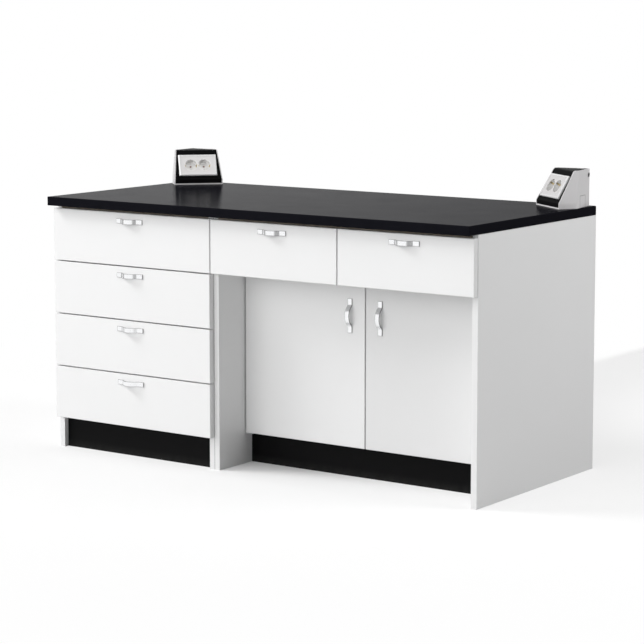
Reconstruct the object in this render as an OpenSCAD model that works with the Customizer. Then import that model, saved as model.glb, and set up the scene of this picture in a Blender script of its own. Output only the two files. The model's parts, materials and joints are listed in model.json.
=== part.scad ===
// Laboratory bench: a drawer pedestal and a cupboard with a knee recess stand
// side by side under one worktop, with a mains socket unit in each rear corner.
// Millimetres. The origin is on the floor, under the middle of the worktop.
// +X is to the right as seen from the front, +Y is to the back, +Z is up.

/* [Bench] */
// Length of the worktop
worktop_w = 1500; // [1400:10:1800]
// Depth of the worktop, front to back
worktop_d = 700; // [670:5:800]
// Thickness of the worktop
worktop_t = 27; // [18:1:38]
// Radius of the worktop's front and end edges
worktop_edge_r = 3; // [1:0.5:6]
// Height of the worktop's upper face above the floor
bench_h = 776; // [740:2:900]
// Width of the drawer pedestal; the cupboard takes the rest of the length
pedestal_w = 603; // [540:1:660]
// Thickness of the cabinet boards and the fronts
board_t = 18; // [16:1:22]
// Thickness of the back panels
back_t = 8; // [5:1:10]
// Distance from the cabinets' rear edges in to the back panels
back_inset = 16; // [10:1:30]
// Height of the plinths, up to the bottom panels
plinth_h = 100; // [80:1:140]
// Distance from the faces of the fronts and doors back to the plinths
plinth_setback = 34; // [26:1:60]
// Depth of the rails under the worktop, front to back
rail_w = 90; // [60:5:120]

/* [Fronts] */
// Radius of the edging round the faces of fronts and doors
edging_r = 1.5; // [0.5:0.25:3]
// Distance from the worktop's front edge back to the drawer fronts
front_setback = 28; // [24:1:40]
// Joint between neighbouring fronts and doors
front_gap = 3.5; // [2:0.5:5]
// Open shadow gap between the worktop and the top fronts
shadow_gap = 9; // [4:0.5:20]
// How far the lowest drawer front hangs below the bottom panel
front_drop = 4.5; // [0:0.5:12]
// Clearance between a closed front and the cabinet's front edges
front_rest = 0.5; // [0.2:0.1:1]
// Depth of the knee recess, from the drawer fronts back to the doors
knee_recess = 142; // [100:1:200]
// How far the doors hang below the bottom panel
door_drop = 7; // [4:0.5:12]
// How far the top fronts cover the deck board under their drawers
deck_cover = 2; // [0:0.5:10]

/* [Drawers] */
// Length of the drawer boxes, front to back
box_d = 500; // [400:10:560]
// Height of the drawer boxes
box_h = 100; // [70:5:110]
// Thickness of the drawer box sides
box_t = 13; // [10:1:16]
// Thickness of the drawer bottoms
box_bottom_t = 6; // [4:1:8]
// Height of a box's lower edge above the lower edge of its front
box_lift = 32; // [28:1:40]
// Height of a drawer bottom above the lower edge of its box
bottom_lift = 9; // [6:1:15]
// Depth of the grooves that hold drawer bottoms and back panels
groove_d = 6; // [4:1:8]
// Glue line and groove play between the boards
joint_gap = 0.1; // [0.05:0.05:0.2]

/* [Runners] */
// Room for a runner on each side of a drawer box
runner_gap = 12.5; // [11.5:0.5:15]
// Sheet thickness of the runners
runner_t = 1.2; // [1:0.1:1.5]
// Clear height inside a fixed runner channel
channel_h = 20; // [18:0.5:24]
// Running clearance of the rollers and their tracks
roller_play = 0.3; // [0.2:0.05:0.5]
// Width of a runner roller
roller_w = 6; // [4:0.5:7]
// Diameter of the pins that the rollers turn on
roller_pin_d = 5; // [4:0.5:6]

/* [Handles] */
// Overall length of a handle
handle_l = 99; // [80:1:140]
// Width of the handle strap
handle_w = 14; // [10:1:20]
// Thickness of the handle strap
handle_t = 3; // [2:0.5:5]
// Height of the bow above the feet
handle_rise = 16; // [12:1:25]
// Length of each flat foot
foot_l = 14; // [11:1:20]
// Radius of the bend between a foot and the bow
bend_r = 12; // [6:1:16]
// Diameter of the handle screws
handle_screw_d = 4; // [3:0.5:5]
// Distance from a front's upper edge down to the middle of its handle
handle_drop = 25; // [20:1:60]
// Distance from a door's upper edge down to the middle of its handle
door_handle_drop = 105; // [80:1:250]
// Distance from a door's free edge in to its handle
door_handle_in = 50; // [30:1:80]

/* [Door pivots] */
// Distance from a door's hinged edge in to its pivot
pivot_in = 9; // [8:0.5:12]
// Distance from a door's face back to its pivot
pivot_back = 7; // [6.5:0.5:9]
// Diameter of the pivot pins
pivot_d = 6; // [4:0.5:6]
// Radial running clearance of the pivot pins in their bushes
pivot_play = 0.05; // [0.03:0.01:0.1]
// Wall thickness of the pivot bushes
bush_wall = 1; // [0.8:0.1:1.5]
// Length of a pivot bush in the door
bush_l = 16; // [10:1:25]
// Diameter of the bush flanges that carry the door
bush_flange_d = 12; // [10:0.5:13]
// Thickness of the bush flanges and of the pivot plates
plate_t = 2; // [1.5:0.1:2.5]

/* [Shelf] */
// Height of the shelf's upper face above the cupboard's bottom panel
shelf_rise = 235; // [120:5:380]
// Distance from the cupboard's inner front edges back to the shelf
shelf_setback = 20; // [10:5:120]
// Diameter of the shelf pins
shelf_pin_d = 5; // [4:0.5:6]
// Distance between two rows of shelf holes
shelf_step = 32; // [25:1:40]

/* [Socket units] */
// Width of a socket unit across its front
unit_w = 156; // [144:1:180]
// Height of a socket unit above the worktop
unit_h = 108; // [90:1:130]
// Length of a socket unit's sides, from the front to the rear walls
unit_side = 58; // [50:1:80]
// Height of the upright foot of the front
unit_foot = 15.5; // [8:0.5:25]
// Distance that the sloping front leans back
unit_lean = 51.5; // [30:0.5:60]
// Distance that each side leans in from the foot to the top
unit_draft = 10; // [4:0.5:14]
// Wall thickness of the socket units
unit_wall = 3; // [2:0.5:4]
// Radius of the edge between the front and the top
unit_edge_r = 9; // [7:0.5:12]
// Radius of a unit's upright corners
unit_corner_r = 10; // [7:0.5:12]
// How far the walls stand proud of the cover between them
unit_proud = 1; // [0.5:0.25:1.5]
// Width of the knock-out at the foot of each rear wall
knockout_w = 45; // [30:1:50]
// Height of the knock-outs
knockout_h = 35; // [20:1:45]
// Diameter of the plugged cable hole near the top of each rear wall
cable_hole_d = 11; // [8:0.5:12]
// Distance from the worktop's left end to the left unit's front
left_unit_in = 109; // [105:1:200]
// Distance from the worktop's rear edge to the left unit's front
left_unit_back = 98; // [96:1:200]
// Turn of the left unit's front from the bench's front
left_unit_turn = 46.5; // [40:0.5:50]
// Distance from the worktop's right end to the right unit's front
right_unit_in = 98.5; // [98:0.5:200]
// Distance from the worktop's rear edge to the right unit's front
right_unit_back = 112; // [112:1:200]
// Turn of the right unit's front from the bench's front
right_unit_turn = 35.5; // [34:0.5:50]

/* [Sockets] */
// Width of a socket plate
plate_w = 122; // [118:1:126]
// Height of a socket plate up the slope
plate_h = 73; // [68:1:76]
// Thickness of a socket plate
plate_d = 6.5; // [5:0.5:8]
// Width of the chamfer round a socket plate
plate_chamfer = 2.5; // [1:0.5:3.5]
// Width of the raised border of a socket plate
plate_border = 5; // [4:0.5:6]
// Height of that border above the plate's field
plate_step = 0.8; // [0.4:0.2:1.2]
// Distance from the top of the foot up the slope to the plate
plate_up = 13.5; // [8:0.5:16]
// Diameter of a socket recess
recess_d = 39.5; // [38:0.5:40.5]
// Depth of a socket recess
recess_deep = 17; // [15:0.5:18]
// Distance between the two recesses of a plate
recess_pitch = 43; // [42.5:0.5:50]
// Wall thickness of a socket insert
insert_wall = 1; // [0.8:0.1:1.2]
// Distance between the two pin holes of a socket
pin_pitch = 19; // [19:0.5:19.5]
// Diameter of the pin holes
pin_d = 5; // [4.8:0.1:5.5]
// Clearance round the inserts in their plate and cover
insert_play = 0.2; // [0.1:0.05:0.3]
// Turn of the inserts in the left unit's plate
left_insert_turn = 90; // [0:45:90]
// Turn of the inserts in the right unit's plate
right_insert_turn = 0; // [0:45:90]

/* [Hidden] */
$fn = 48;

// The worktop and the cabinets' outer faces.
x_left = -worktop_w / 2;
x_right = worktop_w / 2;
x_split = x_left + pedestal_w;
y_front = -worktop_d / 2;
y_back = worktop_d / 2;
z_under = bench_h - worktop_t;
cupboard_w = worktop_w - pedestal_w;

// The faces of the fronts, the cabinets' front edges and the back panels.
y_face = y_front + front_setback;
y_carcass = y_face + board_t + front_rest;
y_panel = y_back - back_inset - back_t;
y_door = y_face + knee_recess;

// The stack of drawer fronts: four in the pedestal, one row in the cupboard.
pedestal_drawers = 4;
z_front_top = z_under - shadow_gap;
z_front_low = plinth_h - front_drop;
front_h = (z_front_top - z_front_low - (pedestal_drawers - 1) * front_gap)
    / pedestal_drawers;
z_rail = z_under - board_t;
z_floor = plinth_h + board_t;

// The cupboard: the deck under its drawers, the doors and the inner depth.
cupboard_cx = (x_split + x_right) / 2;
cupboard_clear = cupboard_w - 2 * board_t;
z_deck = z_front_top - front_h + deck_cover;
z_deck_top = z_deck + board_t;
door_w = (cupboard_clear - 3 * front_gap) / 2;
z_door_low = plinth_h - door_drop;
z_door_top = z_deck - front_gap;
door_swing_clear = 1.5;
door_back_reach = norm([pivot_in, board_t - pivot_back]);
y_inner = y_door + pivot_back + max(door_back_reach, board_t - pivot_back)
    + door_swing_clear;
pivot_x = -cupboard_clear / 2 + front_gap + pivot_in;
pivot_y = y_door + pivot_back;
bush_d = pivot_d + 2 * pivot_play + 2 * bush_wall;
bush_flange_t = 1;
pivot_pin_l = bush_l - 4;

// The drawer boxes, from the left cabinet side to the right one.
pedestal_cx = x_left + pedestal_w / 2;
pedestal_clear = pedestal_w - 2 * board_t;
bay_clear = (cupboard_clear - board_t) / 2;
bay_shift = (bay_clear + board_t) / 2;
y_box = y_face + board_t;

// The runner tracks, measured from a drawer box's lower edge.
roller_r = channel_h / 2 - roller_play;
front_roller_d = channel_h - 2 * roller_play - 2 * runner_t - roller_play;
track_z = -channel_h / 2 + 2;
roller_end = 16;
roller_side = 0.5;

// The bow of a handle: an arch that two bends lead into from the feet.
bow_half = handle_l / 2 - foot_l;
arch_r = (bow_half * bow_half + handle_rise * handle_rise) / (2 * handle_rise)
    - bend_r;
bend_cut = 0.02;
handle_hole_pitch = handle_l - foot_l;
handle_screw_play = 0.25;
screw_head_t = 2;

// The bolts that hold the two cabinets together, and the other fasteners.
bolt_d = 8;
bolt_play = 0.05;
bolt_head_d = 14;
bolt_head_t = 1.5;
bolt_front_in = 200;
bolt_back_in = 150;
bolt_y = [y_face + bolt_front_in, y_back - bolt_back_in];
bolt_z = [for (i = [1, 3]) box_z(i) + (front_h + front_gap) / 2];
screw_d = 4;
screw_depth = 15;
shelf_pin_l = 8;
shelf_pin_seat = 10;
shelf_play = 1;
shelf_d = y_panel - y_inner - 2 * shelf_setback;
z_shelf = z_floor + shelf_rise - board_t;
shelf_pin_in = 37;
shelf_pin_y = [y_inner + shelf_setback + shelf_pin_in,
    y_panel - shelf_setback - shelf_pin_in];
shelf_rows = 2;

// The slope of a socket unit, and what is placed on it.
unit_base_t = 3.5;
unit_rear = unit_side + unit_w / 2;
unit_slope_h = unit_h - unit_foot;
unit_slope = atan2(unit_slope_h, unit_lean);
seam = 0.1;
insert_d = recess_d + 2 * insert_wall;
insert_floor_t = 3;
insert_turn = [left_insert_turn, right_insert_turn];
boss_d = 9;
boss_h = 1.5;
earth_clip_w = 5;
earth_clip_t = 1;
groove_w = 0.8;
knockout_in = 45;
cable_hole_up = 91;
cable_hole_in = 17;
plug_flange = 1;
plug_flange_t = 1.2;
collar_w = 2;
collar_t = 1;

// Lower edge of the front of pedestal drawer i, counted from 0 at the top.
function front_z(i) = z_front_top - (i + 1) * front_h - i * front_gap;

// Lower edge of the box of pedestal drawer i.
function box_z(i) = front_z(i) + box_lift;

// A board between the given limits along X, Y and Z.
module slab(x, y, z) {
    translate([x[0], y[0], z[0]])
        cube([x[1] - x[0], y[1] - y[0], z[1] - z[0]]);
}

// A rectangle whose corners on its u[0] side, or all four, are rounded.
module eased_outline(u, v, r, all_four = false) {
    u_in = [u[0] + r, all_four ? u[1] - r : u[1] + 1];
    v_in = [v[0] + r, v[1] - r];
    intersection() {
        translate([u[0], v[0]])
            square([u[1] - u[0], v[1] - v[0]]);
        union() {
            translate([u_in[0], v[0] - 1])
                square([u_in[1] - u_in[0], v[1] - v[0] + 2]);
            translate([u[0] - 1, v_in[0]])
                square([u[1] - u[0] + 2, v_in[1] - v_in[0]]);
            for (a = all_four ? u_in : [u_in[0]], b = v_in)
                translate([a, b])
                    circle(r = r + bend_cut);
        }
    }
}

// A board whose front face, at y[0], is rounded all round with radius r.
module eased_board(x, y, z, r) {
    intersection() {
        translate([0, 0, z[0]])
            linear_extrude(z[1] - z[0])
                mirror([1, -1, 0])
                    eased_outline(y, x, r);
        translate([x[0] - 1, 0, 0])
            rotate([90, 0, 90])
                linear_extrude(x[1] - x[0] + 2)
                    eased_outline(y, z, r);
    }
}

// A cylinder along X, from the given point.
module rod_x(d, l) {
    rotate([0, 90, 0])
        cylinder(d = d, h = l);
}

// A cylinder along Y, from the given point.
module rod_y(d, l) {
    rotate([-90, 0, 0])
        cylinder(d = d, h = l);
}

// ---------------------------------------------------------------- worktop

// Places of the screws that hold the worktop down, in the rails' middles.
function rail_screw_x() = [
    pedestal_cx - pedestal_clear / 3, pedestal_cx + pedestal_clear / 3,
    cupboard_cx - cupboard_clear / 3, cupboard_cx + cupboard_clear / 3,
];
function rail_screw_y() = [y_carcass + rail_w / 2, y_panel - rail_w / 2];

module at_rail_screws() {
    for (x = rail_screw_x(), y = rail_screw_y())
        translate([x, y, z_rail])
            children();
}

module worktop() {
    color([0.23, 0.23, 0.24])
        difference() {
            intersection() {
                eased_board([x_left, x_right], [y_front, y_back],
                    [z_under, bench_h], worktop_edge_r);
                translate([0, y_back + 1, 0])
                    rotate([90, 0, 0])
                        linear_extrude(worktop_d + 2)
                            eased_outline([x_left, x_right],
                                [z_under, bench_h], worktop_edge_r, true);
            }
            at_rail_screws()
                cylinder(d = screw_d + 2 * joint_gap, h = board_t + screw_depth);
        }
}

module worktop_screws() {
    color([0.75, 0.75, 0.77])
        at_rail_screws() {
            cylinder(d = screw_d, h = board_t + screw_depth - 1);
            translate([0, 0, -screw_head_t])
                cylinder(d = 2 * screw_d, h = screw_head_t);
        }
}

// --------------------------------------------------------- cabinet boards

// An upright cabinet side with its outer face at x = 0 and its inner face at
// x = board_t, grooved for the back panel.
module cabinet_side() {
    difference() {
        slab([0, board_t], [y_carcass, y_back], [0, z_under]);
        slab([board_t - groove_d, board_t + 1],
            [y_panel - joint_gap, y_panel + back_t + joint_gap],
            [plinth_h, z_under + 1]);
    }
}

module at_bolts() {
    for (y = bolt_y, z = bolt_z)
        translate([x_split, y, z])
            children();
}

module bolt_bores() {
    at_bolts()
        translate([-board_t - 1, 0, 0])
            rod_x(bolt_d + 2 * bolt_play, 2 * board_t + 2);
}

module shelf_pin_bores() {
    for (y = shelf_pin_y, s = [-1, 1], k = [-shelf_rows : shelf_rows])
        translate([cupboard_cx + s * cupboard_clear / 2, y,
            z_shelf - shelf_pin_d / 2 + k * shelf_step])
            translate([-shelf_pin_seat, 0, 0])
                rod_x(shelf_pin_d + 2 * joint_gap, 2 * shelf_pin_seat);
}

module pedestal_left_side() {
    color([0.94, 0.94, 0.94])
        translate([x_left, 0, 0])
            cabinet_side();
}

module pedestal_right_side() {
    color([0.94, 0.94, 0.94])
        difference() {
            translate([x_split, 0, 0])
                mirror([1, 0, 0])
                    cabinet_side();
            bolt_bores();
        }
}

module cupboard_left_side() {
    color([0.94, 0.94, 0.94])
        difference() {
            translate([x_split, 0, 0])
                cabinet_side();
            bolt_bores();
            shelf_pin_bores();
        }
}

module cupboard_right_side() {
    color([0.94, 0.94, 0.94])
        difference() {
            translate([x_right, 0, 0])
                mirror([1, 0, 0])
                    cabinet_side();
            shelf_pin_bores();
        }
}

// A back panel that runs in the grooves of two sides, centred on cx.
module back_panel(cx, clear) {
    half = clear / 2 + groove_d - joint_gap;
    slab([cx - half, cx + half], [y_panel, y_panel + back_t],
        [plinth_h, z_under]);
}

// Front and rear rails between two sides, with their screw holes.
module top_rails(cx, clear) {
    half = clear / 2;
    difference() {
        for (y = [y_carcass, y_panel - rail_w])
            slab([cx - half, cx + half], [y, y + rail_w], [z_rail, z_under]);
        at_rail_screws()
            cylinder(d = screw_d + 2 * joint_gap, h = board_t);
    }
}

// Front and rear plinth boards, the front one with its face at y.
module plinth(cx, clear, y) {
    half = clear / 2;
    for (y0 = [y, y_panel - board_t])
        slab([cx - half, cx + half], [y0, y0 + board_t], [0, plinth_h]);
}

module pedestal_bottom_panel() {
    color([0.94, 0.94, 0.94])
        slab([x_left + board_t, x_split - board_t], [y_carcass, y_panel],
            [plinth_h, z_floor]);
}

module pedestal_back_panel() {
    color([0.92, 0.92, 0.92])
        back_panel(pedestal_cx, pedestal_clear);
}

module pedestal_top_rails() {
    color([0.94, 0.94, 0.94])
        top_rails(pedestal_cx, pedestal_clear);
}

module pedestal_plinth() {
    color([0.1, 0.1, 0.1])
        plinth(pedestal_cx, pedestal_clear, y_face + plinth_setback);
}

module cupboard_bottom_panel() {
    half = cupboard_clear / 2;
    color([0.94, 0.94, 0.94])
        slab([cupboard_cx - half, cupboard_cx + half], [y_inner, y_panel],
            [plinth_h, z_floor]);
}

module cupboard_back_panel() {
    color([0.92, 0.92, 0.92])
        back_panel(cupboard_cx, cupboard_clear);
}

module cupboard_top_rails() {
    color([0.94, 0.94, 0.94])
        top_rails(cupboard_cx, cupboard_clear);
}

module cupboard_plinth() {
    color([0.1, 0.1, 0.1])
        plinth(cupboard_cx, cupboard_clear, y_door + plinth_setback);
}

module cupboard_deck() {
    half = cupboard_clear / 2;
    color([0.94, 0.94, 0.94])
        slab([cupboard_cx - half, cupboard_cx + half], [y_carcass, y_panel],
            [z_deck, z_deck_top]);
}

module cupboard_drawer_divider() {
    half = board_t / 2;
    color([0.94, 0.94, 0.94])
        slab([cupboard_cx - half, cupboard_cx + half], [y_carcass, y_panel],
            [z_deck_top, z_rail]);
}

// ---------------------------------------------------- shelf and fasteners

module cupboard_shelf() {
    half = cupboard_clear / 2 - shelf_play;
    y0 = y_inner + shelf_setback;
    color([0.94, 0.94, 0.94])
        slab([cupboard_cx - half, cupboard_cx + half], [y0, y0 + shelf_d],
            [z_shelf, z_shelf + board_t]);
}

// Each pin sits in a side and has a flat on top that the shelf lies on.
module shelf_pins() {
    color([0.75, 0.75, 0.77])
        for (y = shelf_pin_y, s = [-1, 1])
            translate([cupboard_cx + s * cupboard_clear / 2, y, 0])
                mirror([s < 0 ? 0 : 1, 0, 0]) {
                    translate([1 - shelf_pin_seat, 0,
                        z_shelf - shelf_pin_d / 2])
                        rod_x(shelf_pin_d, shelf_pin_seat - 1 + shelf_pin_l);
                    slab([0, shelf_pin_l], [-shelf_pin_d, shelf_pin_d],
                        [z_shelf - 1.5, z_shelf]);
                    slab([0, 1.5], [-shelf_pin_d, shelf_pin_d],
                        [z_shelf - 2 * shelf_pin_d, z_shelf]);
                }
}

module cabinet_bolts() {
    color([0.75, 0.75, 0.77])
        at_bolts() {
            translate([-board_t, 0, 0])
                rod_x(bolt_d, 2 * board_t);
            for (s = [-1, 1])
                translate([s * board_t, 0, 0])
                    mirror([s < 0 ? 1 : 0, 0, 0])
                        rod_x(bolt_head_d, bolt_head_t);
        }
}

// ---------------------------------------------------------------- runners

// A roller with its bore, along X from x = 0.
module roller(d) {
    difference() {
        rod_x(d, roller_w);
        translate([-1, 0, 0])
            rod_x(roller_pin_d + 2 * joint_gap, roller_w + 2);
    }
}

// The channel on the cabinet's left side, with its roller at the front. Its
// back is at x = 0 and its height is measured from the box's lower edge.
module fixed_runner() {
    reach = runner_gap - runner_t - roller_side;
    z0 = track_z - runner_t;
    z1 = track_z + channel_h;
    slab([0, runner_t], [0, box_d], [z0, z1 + runner_t]);
    slab([0, reach], [0, box_d], [z0, track_z]);
    slab([0, reach], [2 * roller_end, box_d], [z1, z1 + runner_t]);
    translate([0, roller_end, track_z + roller_play + front_roller_d / 2]) {
        translate([runner_t + roller_side + joint_gap, 0, 0])
            roller(front_roller_d);
        rod_x(roller_pin_d, runner_t + 2 * roller_side + roller_w);
    }
}

// The drawer's own track, under the left side of its box: it runs on the
// front roller, and its rear roller runs in the channel.
module drawer_runner() {
    x1 = runner_gap - runner_t;
    z_track = track_z + roller_play + front_roller_d + roller_play;
    slab([x1, runner_gap], [0, box_d], [-runner_t, z_track + runner_t]);
    slab([x1, runner_gap + box_t], [0, box_d], [-runner_t, 0]);
    slab([runner_t + 2 * roller_side, x1], [0, box_d - 2 * roller_end],
        [z_track, z_track + runner_t]);
    translate([0, box_d - roller_end, track_z + channel_h / 2]) {
        translate([x1 - roller_side - joint_gap - roller_w, 0, 0])
            roller(2 * roller_r);
        translate([x1 - 2 * roller_side - roller_w, 0, 0])
            rod_x(roller_pin_d, 2 * roller_side + roller_w);
    }
}

// Its children on both sides of a drawer bay that is centred on cx.
module on_both_sides(cx, clear, z) {
    for (m = [0, 1])
        translate([cx, y_box, z])
            mirror([m, 0, 0])
                translate([-clear / 2, 0, 0])
                    children();
}

module cabinet_runners() {
    color([0.85, 0.85, 0.86]) {
        for (i = [0 : pedestal_drawers - 1])
            on_both_sides(pedestal_cx, pedestal_clear, box_z(i))
                fixed_runner();
        for (s = [-1, 1])
            on_both_sides(cupboard_cx + s * bay_shift, bay_clear, box_z(0))
                fixed_runner();
    }
}

// ---------------------------------------------------------------- handles

// The middle of the arch, and its children at the middle of each foot's bend.
arch_y = handle_t + handle_rise - arch_r;
module at_bends() {
    for (s = [-1, 1])
        translate([s * bow_half, handle_t + bend_r])
            children();
}

// What lies under the lines from the bends' middles to the arch's middle. It
// follows them over 0.4 of their length, or less where that would take it
// below the feet.
module bow_infill(low) {
    bend_y = handle_t + bend_r;
    part = max(0.6, (handle_t / 4 - arch_y) / (bend_y - arch_y));
    x = part * bow_half;
    y = arch_y + part * (bend_y - arch_y);
    polygon([[bow_half, low], [bow_half, bend_y], [x, y], [-x, y],
        [-bow_half, bend_y], [-bow_half, low]]);
}

// The strap's outline: feet on y = 0, bow towards +Y. Each bend is rounded
// with bend_cut more than a tangent radius, so its ends run clearly into the
// foot and the arch.
module handle_outline() {
    difference() {
        union() {
            translate([-handle_l / 2, 0])
                square([handle_l, handle_t]);
            intersection() {
                translate([0, arch_y])
                    circle(r = arch_r, $fn = 96);
                translate([-arch_r, 0])
                    square([2 * arch_r, arch_r]);
            }
            bow_infill(0);
        }
        at_bends()
            circle(r = bend_r + bend_cut);
        difference() {
            union() {
                translate([0, arch_y])
                    circle(r = arch_r - handle_t, $fn = 96);
                bow_infill(-1);
            }
            at_bends()
                circle(r = bend_r + handle_t + bend_cut);
        }
    }
}

// ---------------------------------------------------------------- drawers

// A drawer front of width w, its lower edge at z, with its handle's holes.
module drawer_front(cx, w, z) {
    color([0.95, 0.95, 0.95])
        difference() {
            eased_board([cx - w / 2, cx + w / 2], [y_face, y_face + board_t],
                [z, z + front_h], edging_r);
            translate([cx, y_face, z + front_h - handle_drop])
                handle_holes();
        }
}

// The holes for a handle's screws through a front, with room for the heads.
module handle_holes() {
    for (s = [-1, 1])
        translate([s * handle_hole_pitch / 2, -1, 0]) {
            rod_y(handle_screw_d + 2 * handle_screw_play, board_t + 2);
            translate([0, 1 + board_t - screw_head_t - 1, 0])
                rod_y(2 * handle_screw_d + 1, screw_head_t + 2);
        }
}

// A handle along X on a front's face, with its two screws from behind.
module handle_with_screws() {
    color([0.78, 0.79, 0.8]) {
        rotate([0, 0, 180])
            linear_extrude(handle_w, center = true)
                handle_outline();
        for (s = [-1, 1])
            translate([s * handle_hole_pitch / 2, 0, 0]) {
                translate([0, joint_gap, 0])
                    rod_y(handle_screw_d, board_t - screw_head_t);
                translate([0, board_t - screw_head_t - 1, 0])
                    rod_y(2 * handle_screw_d, screw_head_t);
            }
    }
}

module drawer_handle(cx, z) {
    translate([cx, y_face, z + front_h - handle_drop])
        handle_with_screws();
}

// The groove for a drawer's bottom, round the inside of its box.
module bottom_groove(w) {
    in = box_t - groove_d;
    slab([-w / 2 + in, w / 2 - in], [in, box_d - in],
        [bottom_lift - joint_gap, bottom_lift + box_bottom_t + joint_gap]);
}

// A drawer box for a bay of width clear: two sides, a front, a back and a
// bottom in grooves.
module drawer_box(cx, clear, z) {
    w = clear - 2 * runner_gap;
    in = box_t - groove_d + joint_gap;
    color([0.9, 0.9, 0.9])
        translate([cx, y_box, z]) {
            difference() {
                for (m = [0, 1])
                    mirror([m, 0, 0])
                        slab([-w / 2, -w / 2 + box_t], [0, box_d], [0, box_h]);
                bottom_groove(w);
            }
            difference() {
                for (y = [0, box_d - box_t])
                    slab([-w / 2 + box_t + joint_gap,
                        w / 2 - box_t - joint_gap], [y, y + box_t], [0, box_h]);
                bottom_groove(w);
            }
            slab([-w / 2 + in, w / 2 - in], [in, box_d - in],
                [bottom_lift, bottom_lift + box_bottom_t]);
        }
}

module drawer_runners(cx, clear, z) {
    color([0.85, 0.85, 0.86])
        on_both_sides(cx, clear, z)
            drawer_runner();
}

pedestal_front_w = pedestal_w - front_gap;
bay_front_w = (cupboard_w - 2 * front_gap) / 2;
bay_front_shift = (bay_front_w + front_gap) / 2;

module drawer_1_front() { drawer_front(pedestal_cx, pedestal_front_w, front_z(0)); }
module drawer_2_front() { drawer_front(pedestal_cx, pedestal_front_w, front_z(1)); }
module drawer_3_front() { drawer_front(pedestal_cx, pedestal_front_w, front_z(2)); }
module drawer_4_front() { drawer_front(pedestal_cx, pedestal_front_w, front_z(3)); }
module drawer_1_box() { drawer_box(pedestal_cx, pedestal_clear, box_z(0)); }
module drawer_2_box() { drawer_box(pedestal_cx, pedestal_clear, box_z(1)); }
module drawer_3_box() { drawer_box(pedestal_cx, pedestal_clear, box_z(2)); }
module drawer_4_box() { drawer_box(pedestal_cx, pedestal_clear, box_z(3)); }
module drawer_1_handle() { drawer_handle(pedestal_cx, front_z(0)); }
module drawer_2_handle() { drawer_handle(pedestal_cx, front_z(1)); }
module drawer_3_handle() { drawer_handle(pedestal_cx, front_z(2)); }
module drawer_4_handle() { drawer_handle(pedestal_cx, front_z(3)); }
module drawer_1_runners() { drawer_runners(pedestal_cx, pedestal_clear, box_z(0)); }
module drawer_2_runners() { drawer_runners(pedestal_cx, pedestal_clear, box_z(1)); }
module drawer_3_runners() { drawer_runners(pedestal_cx, pedestal_clear, box_z(2)); }
module drawer_4_runners() { drawer_runners(pedestal_cx, pedestal_clear, box_z(3)); }

module left_top_drawer_front() {
    drawer_front(cupboard_cx - bay_front_shift, bay_front_w, front_z(0));
}
module left_top_drawer_box() {
    drawer_box(cupboard_cx - bay_shift, bay_clear, box_z(0));
}
module left_top_drawer_handle() {
    drawer_handle(cupboard_cx - bay_front_shift, front_z(0));
}
module left_top_drawer_runners() {
    drawer_runners(cupboard_cx - bay_shift, bay_clear, box_z(0));
}
module right_top_drawer_front() {
    drawer_front(cupboard_cx + bay_front_shift, bay_front_w, front_z(0));
}
module right_top_drawer_box() {
    drawer_box(cupboard_cx + bay_shift, bay_clear, box_z(0));
}
module right_top_drawer_handle() {
    drawer_handle(cupboard_cx + bay_front_shift, front_z(0));
}
module right_top_drawer_runners() {
    drawer_runners(cupboard_cx + bay_shift, bay_clear, box_z(0));
}

// ------------------------------------------------------------------ doors

// Its children, drawn for the left door about the cupboard's middle, on the
// left (m = 0) or the right (m = 1).
module at_door(m) {
    translate([cupboard_cx, 0, 0])
        mirror([m, 0, 0])
            children();
}

module door_handle_place() {
    translate([-front_gap / 2 - door_handle_in, y_door,
        z_door_top - door_handle_drop])
        rotate([0, 90, 0])
            children();
}

// The middle line of a pivot, at height z.
module at_pivot(z) {
    translate([pivot_x, pivot_y, z])
        children();
}

module door_panel(m) {
    x0 = -cupboard_clear / 2 + front_gap;
    color([0.95, 0.95, 0.95])
        at_door(m)
            difference() {
                eased_board([x0, x0 + door_w], [y_door, y_door + board_t],
                    [z_door_low, z_door_top], edging_r);
                door_handle_place()
                    handle_holes();
                at_pivot(z_door_low - 1)
                    cylinder(d = bush_d + joint_gap, h = bush_l + 1);
                at_pivot(z_door_top - bush_l)
                    cylinder(d = bush_d + joint_gap, h = bush_l + 1);
            }
}

// A flanged bush that stands in a door's edge with its flange outside.
module pivot_bush() {
    difference() {
        union() {
            cylinder(d = bush_d, h = bush_l);
            translate([0, 0, -bush_flange_t])
                cylinder(d = bush_flange_d, h = bush_flange_t);
        }
        translate([0, 0, -bush_flange_t - 1])
            cylinder(d = pivot_d + 2 * pivot_play, h = bush_l + bush_flange_t + 2);
    }
}

module door_bushes(m) {
    color([0.75, 0.75, 0.77])
        at_door(m) {
            at_pivot(z_door_low)
                pivot_bush();
            at_pivot(z_door_top)
                mirror([0, 0, 1])
                    pivot_bush();
        }
}

module door_handle(m) {
    at_door(m)
        door_handle_place()
            handle_with_screws();
}

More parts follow.
